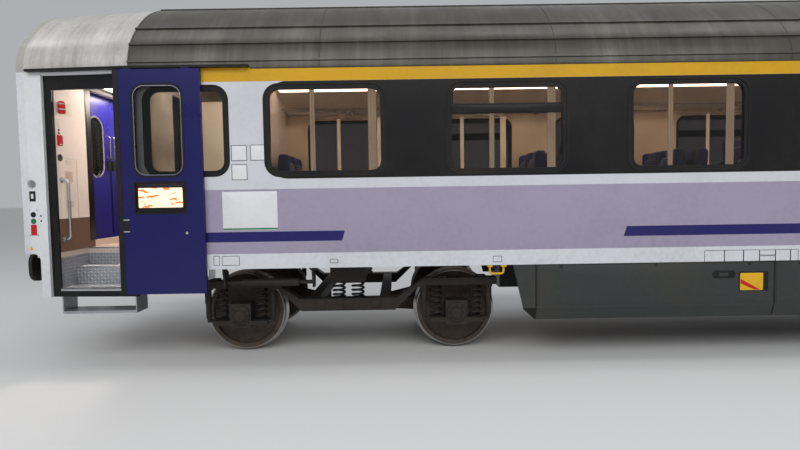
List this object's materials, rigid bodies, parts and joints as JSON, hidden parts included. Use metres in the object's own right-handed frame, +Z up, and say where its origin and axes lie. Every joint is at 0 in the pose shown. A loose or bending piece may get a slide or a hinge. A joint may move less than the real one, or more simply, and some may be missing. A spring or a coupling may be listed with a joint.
{
  "type": "passenger coach",
  "caption": "Express railway coach with ribbed roof, blue plug-sliding entrance doors, window band, gangways, underfloor cases and two swivelling four-wheel bogies.",
  "frame": {"origin": "middle of the coach in plan, level with the lowest points of the wheel flanges", "axes": "+X along the coach to the right seen from the side with the open door, +Z up, -Y towards that side"},
  "size_m": [24.5, 3.007, 4.2278],
  "materials": {
    "side_paint": "satin",
    "grey_paint": "satin",
    "roof_paint": "satin",
    "door_blue": "gloss",
    "frame_black": "satin",
    "rubber": "matte",
    "glass": "clear",
    "lining_cream": "satin",
    "floor_covering": "matte",
    "chequer_plate": "bright",
    "frame_steel": "matte",
    "cast_iron": "rough",
    "case_grey": "satin",
    "yellow_paint": "satin",
    "lamp_red": "gloss",
    "seat_fabric": "woven",
    "table_laminate": "satin",
    "curtain_cloth": "woven",
    "bright_metal": "brushed",
    "bogie_paint": "matte",
    "spring_steel": "satin",
    "wheel_steel": "worn"
  },
  "bodies": {
    "carbody": {"side_wall_near": "side_paint", "side_wall_far": "side_paint", "window_frames": "rubber", "window_panes": "glass", "corner_pillars": "grey_paint", "door_frames": "frame_black", "entrance_doors_closed": "door_blue", "entrance_door_open": "door_blue", "leaf_glass": "glass", "door_guide_rails": "frame_black", "roof_crown": "roof_paint", "roof_haunches": "roof_paint", "roof_domes": "roof_paint", "end_walls": "grey_paint", "vestibule_linings": "lining_cream", "gangway_tubes": "rubber", "floors": "floor_covering", "entrance_steps": "chequer_plate", "underframe": "frame_steel", "buffers": "frame_steel", "draw_gear": "cast_iron", "equipment_cases": "case_grey", "skirt_fairings": "case_grey", "air_tanks": "frame_steel", "lifting_handles": "yellow_paint", "yaw_dampers": "frame_steel", "tail_lamps": "lamp_red", "ceiling": "lining_cream", "partitions": "lining_cream", "first_class_seats": "seat_fabric", "second_class_seats": "seat_fabric", "tables": "table_laminate", "curtains": "curtain_cloth", "luggage_racks": "bright_metal", "handrails": "bright_metal"},
    "bogie_a": {"bogie_frame_a": "bogie_paint", "bogie_bolster_a": "bogie_paint", "axle_boxes_a": "bogie_paint", "coil_springs_a": "spring_steel", "brake_gear_a": "bogie_paint"},
    "wheelset_a1": {"wheelset_a1": "wheel_steel"},
    "wheelset_a2": {"wheelset_a2": "wheel_steel"},
    "gangway_door_a_near": {"gangway_door_a_near": "door_blue"},
    "gangway_door_a_far": {"gangway_door_a_far": "door_blue"},
    "footplate_a": {"footplate_a": "chequer_plate"},
    "vestibule_door_a": {"vestibule_door_a": "glass"},
    "bogie_b": {"bogie_frame_b": "bogie_paint", "bogie_bolster_b": "bogie_paint", "axle_boxes_b": "bogie_paint", "coil_springs_b": "spring_steel", "brake_gear_b": "bogie_paint"},
    "wheelset_b1": {"wheelset_b1": "wheel_steel"},
    "wheelset_b2": {"wheelset_b2": "wheel_steel"},
    "gangway_door_b_near": {"gangway_door_b_near": "door_blue"},
    "gangway_door_b_far": {"gangway_door_b_far": "door_blue"},
    "footplate_b": {"footplate_b": "chequer_plate"},
    "vestibule_door_b": {"vestibule_door_b": "glass"}
  },
  "joints": [
    {"name": "bogie_swivel_a", "type": "hinge", "parent": "carbody", "child": "bogie_a", "pos_m": [-8.6, 0, 1], "axis": [0, 0, 1], "range_deg": [-4, 4]},
    {"name": "axle_a1", "type": "hinge", "parent": "bogie_a", "child": "wheelset_a1", "pos_m": [-9.85, 0, 0.488], "axis": [0, 1, 0], "continuous": true},
    {"name": "axle_a2", "type": "hinge", "parent": "bogie_a", "child": "wheelset_a2", "pos_m": [-7.35, 0, 0.488], "axis": [0, 1, 0], "continuous": true},
    {"name": "gangway_slide_a_near", "type": "slide", "parent": "carbody", "child": "gangway_door_a_near", "axis": [0, -1, 0], "range_m": [0, 0.55]},
    {"name": "gangway_slide_a_far", "type": "slide", "parent": "carbody", "child": "gangway_door_a_far", "axis": [0, 1, 0], "range_m": [0, 0.55]},
    {"name": "footplate_hinge_a", "type": "hinge", "parent": "carbody", "child": "footplate_a", "pos_m": [-12.14, 0, 1.238], "axis": [0, -1, 0], "range_deg": [0, 90]},
    {"name": "vestibule_slide_a", "type": "slide", "parent": "carbody", "child": "vestibule_door_a", "axis": [0, 1, 0], "range_m": [0, 0.65]},
    {"name": "bogie_swivel_b", "type": "hinge", "parent": "carbody", "child": "bogie_b", "pos_m": [8.6, 0, 1], "axis": [0, 0, 1], "range_deg": [-4, 4]},
    {"name": "axle_b1", "type": "hinge", "parent": "bogie_b", "child": "wheelset_b1", "pos_m": [7.35, 0, 0.488], "axis": [0, 1, 0], "continuous": true},
    {"name": "axle_b2", "type": "hinge", "parent": "bogie_b", "child": "wheelset_b2", "pos_m": [9.85, 0, 0.488], "axis": [0, 1, 0], "continuous": true},
    {"name": "gangway_slide_b_near", "type": "slide", "parent": "carbody", "child": "gangway_door_b_near", "axis": [0, -1, 0], "range_m": [0, 0.55]},
    {"name": "gangway_slide_b_far", "type": "slide", "parent": "carbody", "child": "gangway_door_b_far", "axis": [0, 1, 0], "range_m": [0, 0.55]},
    {"name": "footplate_hinge_b", "type": "hinge", "parent": "carbody", "child": "footplate_b", "pos_m": [12.14, 0, 1.238], "axis": [0, 1, 0], "range_deg": [0, 90]},
    {"name": "vestibule_slide_b", "type": "slide", "parent": "carbody", "child": "vestibule_door_b", "axis": [0, 1, 0], "range_m": [0, 0.65]}
  ],
  "couplings": [
    {"joint": "gangway_slide_a_far", "follows": "gangway_slide_a_near", "ratio": 1},
    {"joint": "gangway_slide_b_far", "follows": "gangway_slide_b_near", "ratio": 1}
  ]
}
